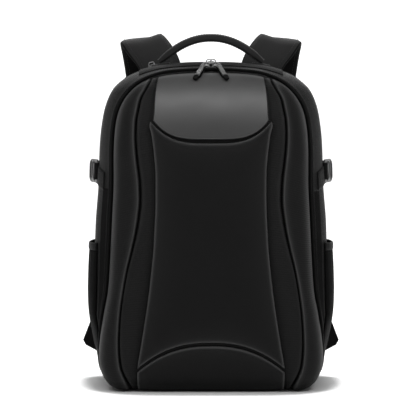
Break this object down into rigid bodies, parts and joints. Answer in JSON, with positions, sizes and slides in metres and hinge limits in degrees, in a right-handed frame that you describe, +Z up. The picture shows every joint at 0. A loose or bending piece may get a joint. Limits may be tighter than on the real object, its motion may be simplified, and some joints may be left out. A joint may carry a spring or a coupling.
{
  "type": "hard shell backpack",
  "caption": "Tall hard shell backpack with a moulded front, curved side wings, a smooth top cap, zips, a carry handle, padded straps and stretch side pockets",
  "frame": {"origin": "the middle of the flat underside that the bag stands on", "axes": "+Z up, -Y the moulded front, +Y the back panel and shoulder straps, +X the right side seen from the front"},
  "size_m": [0.3812, 0.2392, 0.5058],
  "materials": {
    "shell_cloth": "fine ribbed black cloth over a moulded shell",
    "cap_satin": "smooth satin charcoal",
    "body_cloth": "tight charcoal weave",
    "black_cloth": "black weave",
    "mesh_cloth": "black stretch mesh",
    "strap_cloth": "charcoal padded cloth",
    "webbing": "ribbed black webbing",
    "zip_tape": "black tape and piping",
    "zip_metal": "grey zip metal",
    "hook_metal": "dark gunmetal",
    "grip_rubber": "black rubber",
    "black_plastic": "black moulded plastic"
  },
  "bodies": {
    "root": {"front_shell": "shell_cloth", "centre_panel": "shell_cloth", "top_cap": "cap_satin", "lower_panel": "shell_cloth", "gusset": "body_cloth", "shell_piping": "zip_tape", "main_zip": "zip_tape", "rear_zip": "zip_tape", "top_band": "black_cloth", "zip_slider_left": "zip_metal", "zip_slider_right": "zip_metal", "zip_tab_left": "zip_metal", "zip_tab_right": "zip_metal", "zip_link_left": "zip_metal", "zip_link_right": "zip_metal", "zip_grip_left": "grip_rubber", "zip_grip_right": "grip_rubber", "rear_slider": "zip_metal", "carry_handle": "webbing", "handle_foot_left": "black_cloth", "handle_foot_right": "black_cloth", "back_panel": "black_cloth", "back_pad_left": "mesh_cloth", "back_pad_right": "mesh_cloth", "lumbar_pad": "mesh_cloth", "shoulder_strap_left": "strap_cloth", "shoulder_strap_right": "strap_cloth", "ladder_lock_left": "black_plastic", "ladder_lock_right": "black_plastic", "lower_web_left": "webbing", "lower_web_right": "webbing", "lower_tab_left": "black_cloth", "lower_tab_right": "black_cloth", "side_web_front_left": "webbing", "side_web_front_right": "webbing", "side_web_rear_left": "webbing", "side_web_rear_right": "webbing", "side_hook_left": "hook_metal", "side_hook_right": "hook_metal", "side_pocket_left": "mesh_cloth", "side_pocket_right": "mesh_cloth", "pocket_hem_left": "webbing", "pocket_hem_right": "webbing"}
  },
  "joints": []
}
